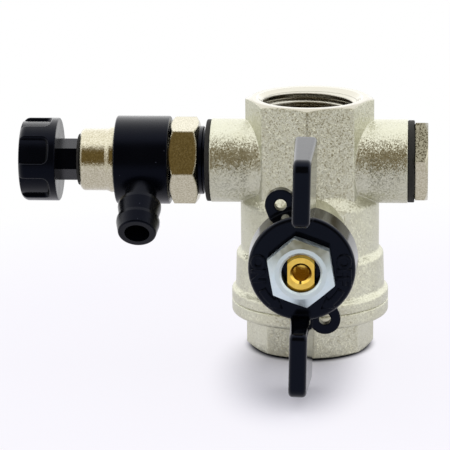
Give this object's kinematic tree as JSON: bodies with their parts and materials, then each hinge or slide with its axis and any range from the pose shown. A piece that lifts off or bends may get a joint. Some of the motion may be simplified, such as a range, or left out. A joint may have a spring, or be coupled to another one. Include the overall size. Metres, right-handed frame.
{
  "type": "ball valve with drain",
  "caption": "Quarter-turn ball valve with pipe-thread sockets, a butterfly handle, a plugged side port and a screw-down drain cock with a swivelling hose tail.",
  "frame": {"origin": "on the flow axis, in the plane of the lower socket's end face that the valve stands on", "axes": "+Z along the flow axis towards the upper socket, -Y along the stem towards the handle, -X towards the drain cock and +X towards the side plug"},
  "size_m": [0.0902, 0.0685, 0.0566],
  "materials": {
    "nickel_cast": "sand-blasted casting, nickel plated",
    "nickel_turned": "turned, nickel plated",
    "handle_coating": "gloss black coating on a die casting",
    "zinc_steel": "bright zinc plated",
    "raw_brass": "turned, bare",
    "plated_ball": "polished, hard chrome plated",
    "seat_plastic": "white low-friction plastic",
    "seal_rubber": "moulded black rubber",
    "black_plastic": "moulded black plastic, satin"
  },
  "bodies": {
    "valve": {"valve_body": "nickel_cast", "end_connector": "nickel_cast", "upper_seat_ring": "seat_plastic", "lower_seat_ring": "seat_plastic", "body_seal_ring": "seat_plastic", "stem_thrust_washer": "seat_plastic", "side_plug": "nickel_turned", "plug_gasket": "seal_rubber", "drain_gasket": "seal_rubber", "drain_backing_ring": "black_plastic", "drain_body": "nickel_turned", "swivel_seal_inner": "seal_rubber", "swivel_seal_outer": "seal_rubber", "drain_bonnet": "nickel_turned", "wiper_ring": "seal_rubber", "spindle_seal": "seal_rubber"},
    "handle_set": {"handle": "handle_coating", "handle_nut": "zinc_steel", "stem": "raw_brass", "stem_seal_inner": "seal_rubber", "stem_seal_outer": "seal_rubber", "ball": "plated_ball"},
    "hose_tail": {"swivel_ring": "black_plastic"},
    "drain_disc": {"disc_holder": "raw_brass", "drain_washer": "seal_rubber"},
    "drain_screw": {"drain_knob": "black_plastic", "drain_spindle": "raw_brass"}
  },
  "joints": [
    {"name": "handle_turn", "type": "hinge", "parent": "valve", "child": "handle_set", "pos_m": [0, 0, 0.0284], "axis": [0, 1, 0], "range_deg": [0, 90]},
    {"name": "hose_tail_turn", "type": "hinge", "parent": "valve", "child": "hose_tail", "pos_m": [-0.0369, 0, 0.0422], "axis": [1, 0, 0], "continuous": true},
    {"name": "drain_lift", "type": "slide", "parent": "valve", "child": "drain_disc", "axis": [-1, 0, 0], "range_m": [0, 0.0024]},
    {"name": "drain_turn", "type": "hinge", "parent": "drain_disc", "child": "drain_screw", "pos_m": [-0.056, 0, 0.0422], "axis": [-1, 0, 0], "range_deg": [0, 1080]}
  ],
  "couplings": [
    {"joint": "drain_lift", "follows": "drain_turn", "m_per_rad": 0.00012732}
  ]
}
